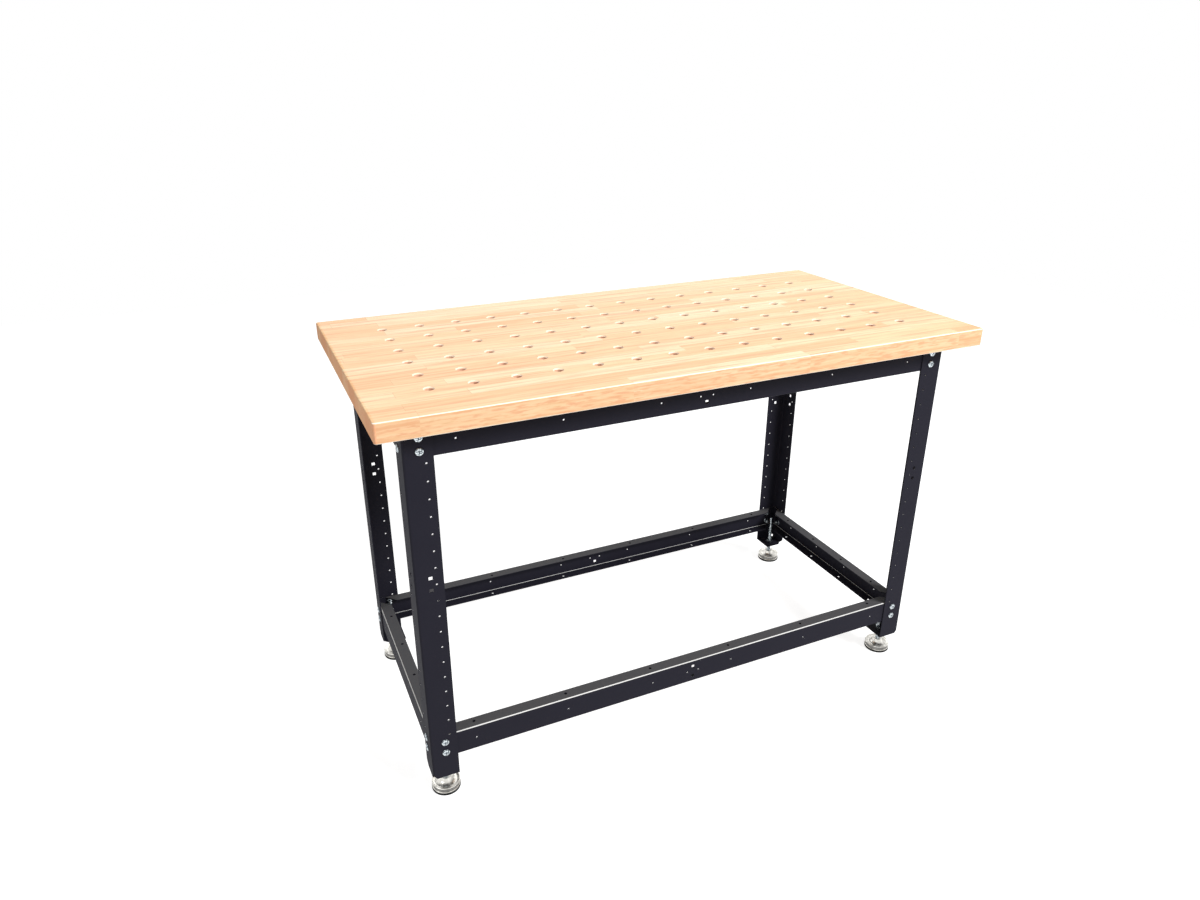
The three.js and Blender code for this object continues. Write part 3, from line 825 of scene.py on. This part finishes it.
def make_rails():
    leg_low, leg_high = (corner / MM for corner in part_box("leg_front_left"))
    long_row = centred_row(LONG_PILOT_PITCH, LONG_PILOTS)
    short_row = centred_row(SHORT_PILOT_PITCH, SHORT_PILOTS)
    bolt_rises = {"apron": leg_high.z - UPPER_BOLT_DROP, "rail": leg_low.z + LOWER_BOLT_RISE}
    for kind, bolt_rise in bolt_rises.items():
        low, high = (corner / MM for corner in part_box(f"{kind}_front"))
        side_low, side_high = (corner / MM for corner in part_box(f"{kind}_left"))
        height, depth, end = high.z - low.z, high.y - low.y, low.x - leg_low.x
        to_top = high.z - bolt_rise
        is_lower = kind == "rail"
        half = BOLT_SPACING / 2
        squares = [-half, half] if is_lower else [-half]
        length, side_length = high.x - low.x, side_high.y - side_low.y
        long = rail_mesh(length, height, depth, to_top, long_row, end, squares, is_lower)
        short = rail_mesh(side_length, height, depth, to_top, short_row, end, [], is_lower)
        sides = [("front", long, 0, 0, low.y), ("back", long, math.pi, 0, -low.y),
                 ("left", short, -math.pi / 2, side_low.x, 0), ("right", short, math.pi / 2, -side_low.x, 0)]
        for side, shape, turn, x, y in sides:
            place = Matrix.Translation((x, y, bolt_rise)) @ Matrix.Rotation(turn, 4, "Z")
            mesh = shape.copy()
            mesh.transform(place)
            node_name = f"{kind}_{side}"
            piece(f"channel_{node_name}", mesh, "frame", PAINT, stands_for=[node_name])
            if not is_lower:
                stations = long_row if shape is long else short_row
                make_top_screws(side, stations, depth, to_top, place)


def make_top_screws(side, stations, depth, to_top, place):
    """Pan-head screws that hold the top from below through an apron's upper flange."""
    r, h = SCREW_HEAD_RADIUS, SCREW_HEAD_HEIGHT
    head = lathed([(0, -h), (r * 0.5, -h), (r * 0.85, -h * 0.8), (r, -h * 0.4), (r, 0), (0, 0)], ROUND_STEPS)
    outline = [(-CROSS_REACH, -CROSS_HALF), (CROSS_REACH, -CROSS_HALF), (CROSS_REACH, CROSS_HALF),
               (-CROSS_REACH, CROSS_HALF)]
    slot = moved(extruded(outline, CROSS_DEPTH + CROSS_MARGIN), z=-h - CROSS_MARGIN)
    cross = slot.copy()
    cross.transform(Matrix.Rotation(math.pi / 2, 4, "Z"))
    head = combined(combined(head, slot, "DIFFERENCE"), cross, "DIFFERENCE")
    for i, x in enumerate(stations):
        mesh = moved(head.copy(), x, depth - FLANGE_PILOT_INSET, to_top - SHEET)
        mesh.transform(place)
        piece(f"top_screw_{side}_{i + 1}", mesh, "frame", ZINC)


# Bolts

def bolt_mesh():
    """Carriage bolt along Z with its domed head on the leg at z = 0 and a flange nut on the rail behind."""
    r = HEAD_DIAMETER / 2
    dome = [(r * math.cos(t), HEAD_RIM + (HEAD_HEIGHT - HEAD_RIM) * math.sin(t))
            for t in (math.pi / 2 * k / DOME_STEPS for k in range(DOME_STEPS))]
    head = lathed([(0, HEAD_GAP), (r - HEAD_CHAMFER, HEAD_GAP)] + dome + [(0, HEAD_HEIGHT)], FINE_STEPS)
    seat = -(2 * SHEET + NUT_GAP)
    end = seat - NUT_HEIGHT - BOLT_END
    neck_outline = [(0, seat), (BOLT_RADIUS, seat), (BOLT_RADIUS, HEAD_GAP), (0, HEAD_GAP)]
    neck = lathed(neck_outline, THREAD_STEPS)
    thread = threaded(BOLT_RADIUS, BOLT_THREAD, BOLT_PITCH, end, seat)
    nut = nut_mesh(NUT_FLATS, NUT_HEIGHT)
    nut.transform(Matrix.Translation((0, 0, seat)) @ Matrix.Rotation(math.pi, 4, "X"))
    wide, far = NUT_FLANGE_RADIUS, seat - NUT_FLANGE_HEIGHT
    flange_outline = [(0, seat), (wide, seat), (wide, seat - NUT_FLANGE_EDGE), (wide - NUT_FLANGE_SLOPE, far),
                      (0, far)]
    flange = lathed(flange_outline, FINE_STEPS)
    return joined(head, neck, thread, nut, flange)


def make_bolts():
    mesh = bolt_mesh()
    mesh.name = "carriage_bolt"
    mesh.transform(Matrix.Scale(MM, 4))
    for corner, (in_x, in_y) in CORNERS.items():
        low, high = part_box(f"leg_{corner}")
        faces = {"face": (Vector((0, -in_y, 0)), low.y if in_y > 0 else high.y),
                 "end": (Vector((-in_x, 0, 0)), low.x if in_x > 0 else high.x)}
        for face, (outward, plane) in faces.items():
            for row in ("lower_1", "lower_2", "upper_1", "upper_2"):
                name = f"bolt_{corner}_{face}_{row}"
                node_low, node_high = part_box(name)
                centre = (node_low + node_high) / 2
                axis = 1 if face == "face" else 0
                centre[axis] = plane
                place = Matrix.Translation(centre) @ outward.to_track_quat("Z", "Y").to_matrix().to_4x4()
                copy_of(f"carriage_{name}", mesh, "frame", ZINC, place, [name])


# Levelling feet

def pad_mesh(low, high, radius):
    """Turned pad: lip, drawn-in band, rim, shallow dish and a boss with a socket for the stud."""
    rim = high - BOSS_HEIGHT
    lip = low + SOLE_WRAP
    return lathed(
        [(0, lip), (radius - 0.6, lip), (radius, lip + 0.5), (radius, lip + 1.1), (radius - 0.6, lip + 1.6),
         (radius - 1.7, lip + 1.9), (radius - 2, lip + 2.3), (radius - 2, rim - 3), (radius - 1.7, rim - 2.5),
         (radius - 0.6, rim - 2.2), (radius, rim - 1.7), (radius, rim - 0.9), (radius - 0.5, rim - 0.3),
         (radius - 1.4, rim), (radius - 2.8, rim - 0.3), (radius - 5, rim - 1.4), (radius - 9, rim - 1.8),
         (radius - 13.5, rim - 0.4), (radius - 17, rim + 2), (radius - 18.8, rim + 4.2),
         (radius - 20.2, rim + 7.5), (radius - 21.2, high - 0.7), (radius - 22, high),
         (STUD_RADIUS + 0.6, high), (STUD_RADIUS + 0.4, SOCKET_FLOOR), (0, SOCKET_FLOOR)],
        PAD_STEPS,
    )


def make_feet():
    low, high = (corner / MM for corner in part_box("pad_front_left"))
    pad = pad_mesh(low.z, high.z, (high.y - low.y) / 2)
    sole_low, sole_high = (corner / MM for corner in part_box("sole_front_left"))
    r, top = (sole_high.y - sole_low.y) / 2 + SOLE_BULGE, sole_high.z + SOLE_WRAP
    outline = [(0, 0), (r - 1.6, 0), (r - 0.4, 0.5), (r, 1.4), (r, top - 0.3), (r - 0.3, top), (0, top)]
    sole = lathed(outline, PAD_STEPS)
    stud_low, stud_high = (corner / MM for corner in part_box("stud_front_left"))
    stud = threaded(STUD_RADIUS, STUD_THREAD, STUD_PITCH, stud_low.z, stud_high.z)
    for mesh in (pad, sole, stud):
        mesh.transform(Matrix.Scale(MM, 4))
    for corner in CORNERS:
        node_low, node_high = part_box(f"stud_{corner}")
        middle = (node_low + node_high) / 2
        place = Matrix.Translation((middle.x, middle.y, 0))
        copy_of(f"turned_pad_{corner}", pad, f"foot_{corner}", NICKEL, place, [f"pad_{corner}"])
        copy_of(f"rubber_sole_{corner}", sole, f"foot_{corner}", RUBBER, place, [f"sole_{corner}"])
        copy_of(f"threaded_stud_{corner}", stud, f"screw_{corner}", ZINC, place, [f"stud_{corner}"])


make_top()
make_legs()
make_rails()
make_bolts()
make_feet()


# Stage, light and camera

def background_rays(tree):
    """1 for the rays that see the background: straight, in a reflection or through glass."""
    path = node(tree, "ShaderNodeLightPath").outputs
    seen = maths(tree, "MAXIMUM", path["Is Camera Ray"], path["Is Glossy Ray"])
    return maths(tree, "MAXIMUM", seen, path["Is Transmission Ray"])


FLOOR_GREY = (0.5, 0.5, 0.5, 1)
FLOOR_LIFT = 0.80  # keeps the lit floor white and leaves a faint shadow
FLOOR_REACH = 5  # from the middle to each side, with the white world behind
FLOOR_DROP = 0.0005


def make_floor():
    bm = bmesh.new()
    bmesh.ops.create_grid(bm, x_segments=1, y_segments=1, size=FLOOR_REACH)
    mesh = mesh_of(bm)
    material = bpy.data.materials.new("floor")
    material.use_nodes = True
    tree = material.node_tree
    tree.nodes.clear()
    paint = node(tree, "ShaderNodeBsdfDiffuse", {"Color": FLOOR_GREY})
    strength = maths(tree, "MULTIPLY", background_rays(tree), FLOOR_LIFT)
    lift = node(tree, "ShaderNodeEmission", {"Strength": strength})
    both = node(tree, "ShaderNodeAddShader", {0: paint.outputs[0], 1: lift.outputs[0]})
    node(tree, "ShaderNodeOutputMaterial", {"Surface": both.outputs[0]})
    mesh.materials.append(material)
    floor = bpy.data.objects.new("floor", mesh)
    floor.location.z = -FLOOR_DROP
    bpy.context.collection.objects.link(floor)


WHITE = (1, 1, 1, 1)
AMBIENT = 0.27


def make_world():
    world = bpy.data.worlds.new("studio")
    bpy.context.scene.world = world
    world.use_nodes = True
    tree = world.node_tree
    strength = spread(tree, background_rays(tree), AMBIENT, 1.0)
    feed(tree, tree.nodes["Background"].inputs["Strength"], strength)
    tree.nodes["Background"].inputs["Color"].default_value = WHITE


def make_softbox(name, place, target, width, height, power):
    """Rectangular lamp turned to its target, with its power in watts."""
    light = bpy.data.lights.new(name, "AREA")
    light.shape = "RECTANGLE"
    light.size = width
    light.size_y = height
    light.energy = power
    box = bpy.data.objects.new(name, light)
    box.location = place
    box.rotation_euler = (Vector(target) - Vector(place)).to_track_quat("-Z", "Y").to_euler()
    bpy.context.collection.objects.link(box)
    return box


CAMERA_PLACE = (-0.9829, -1.8738, 1.5997)
CAMERA_TURN = 24.083  # degrees to the right of straight on
CAMERA_DIP = 22.953  # degrees below the horizon
CAMERA_ROLL = -0.161  # degrees
SENSOR_WIDTH = 36  # mm
PHOTO_WIDTH = 1200
FOCAL_PIXELS = 852.6
CENTRE_SHIFT = (7.05, -16.3)  # pixels from the lens's axis to the middle of the picture


def make_camera():
    data = bpy.data.cameras.new("camera")
    data.sensor_width = SENSOR_WIDTH
    data.lens = FOCAL_PIXELS / PHOTO_WIDTH * SENSOR_WIDTH
    data.shift_x = CENTRE_SHIFT[0] / PHOTO_WIDTH
    data.shift_y = CENTRE_SHIFT[1] / PHOTO_WIDTH
    camera = bpy.data.objects.new("camera", data)
    aim = Euler((math.radians(90 - CAMERA_DIP), 0, math.radians(-CAMERA_TURN))).to_matrix().to_4x4()
    roll = Matrix.Rotation(math.radians(CAMERA_ROLL), 4, "Z")
    camera.matrix_world = Matrix.Translation(CAMERA_PLACE) @ aim @ roll
    bpy.context.collection.objects.link(camera)
    bpy.context.scene.camera = camera


make_floor()
make_world()
key = make_softbox("key", place=(4.6, -6.2, 5.9), target=(0, 0, 0.8), width=3.8, height=2.6, power=1200)
key.visible_glossy = False  # no glare on the lacquer seen from behind
make_softbox("back", place=(0.9, 2.7, 2.7), target=(0, 0, 0.5), width=4.0, height=1.2, power=26)
make_softbox("fill", place=(-2.7, -0.9, 1.6), target=(-0.76, 0, 0.95), width=1.0, height=0.8, power=16)
make_camera()
bpy.context.scene.view_settings.view_transform = "Standard"
